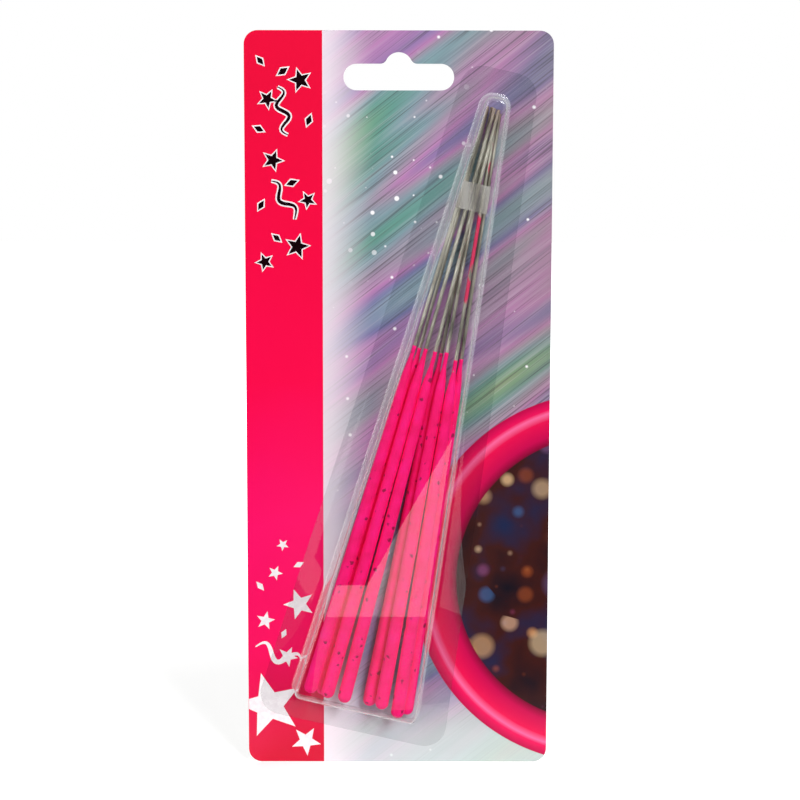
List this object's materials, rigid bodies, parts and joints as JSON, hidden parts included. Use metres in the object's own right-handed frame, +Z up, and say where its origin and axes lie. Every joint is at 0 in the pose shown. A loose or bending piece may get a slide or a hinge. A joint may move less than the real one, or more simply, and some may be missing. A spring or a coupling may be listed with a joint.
{
  "type": "carded sparkler pack",
  "caption": "Blister pack of dipped wire sparklers on a printed hang card with a euro slot, peeled open to take the bundle.",
  "frame": {"origin": "centre of the hang slot's round notch, on the back face of the card", "axes": "+Z up along the card's height, +X to the right of the printed face, -Y out of the printed face"},
  "size_m": [0.0894, 0.0107, 0.217],
  "materials": {
    "printed_board": "satin",
    "clear_sheet": "gloss",
    "clear_tape": "satin",
    "steel_wire": "satin",
    "pink_coating": "matte"
  },
  "bodies": {
    "card": {"backing_card": "printed_board"},
    "blister": {"blister_shell": "clear_sheet"},
    "bundle": {"tape_band": "clear_tape", "sparkler_wire_1": "steel_wire", "sparkler_wire_2": "steel_wire", "sparkler_wire_3": "steel_wire", "sparkler_wire_4": "steel_wire", "sparkler_wire_5": "steel_wire", "sparkler_wire_6": "steel_wire", "sparkler_wire_7": "steel_wire", "sparkler_wire_8": "steel_wire", "sparkler_coating_1": "pink_coating", "sparkler_coating_2": "pink_coating", "sparkler_coating_3": "pink_coating", "sparkler_coating_4": "pink_coating", "sparkler_coating_5": "pink_coating", "sparkler_coating_6": "pink_coating", "sparkler_coating_7": "pink_coating", "sparkler_coating_8": "pink_coating"}
  },
  "joints": [
    {"name": "blister_peel", "type": "hinge", "parent": "card", "child": "blister", "pos_m": [0.03014, -0.0008, -0.00102], "axis": [-0.9748, 0, 0.2233], "range_deg": [0, 110]},
    {"name": "bundle_shift", "type": "slide", "parent": "card", "child": "bundle", "axis": [0.2233, 0, 0.9748], "range_m": [0, 0.0015]}
  ]
}
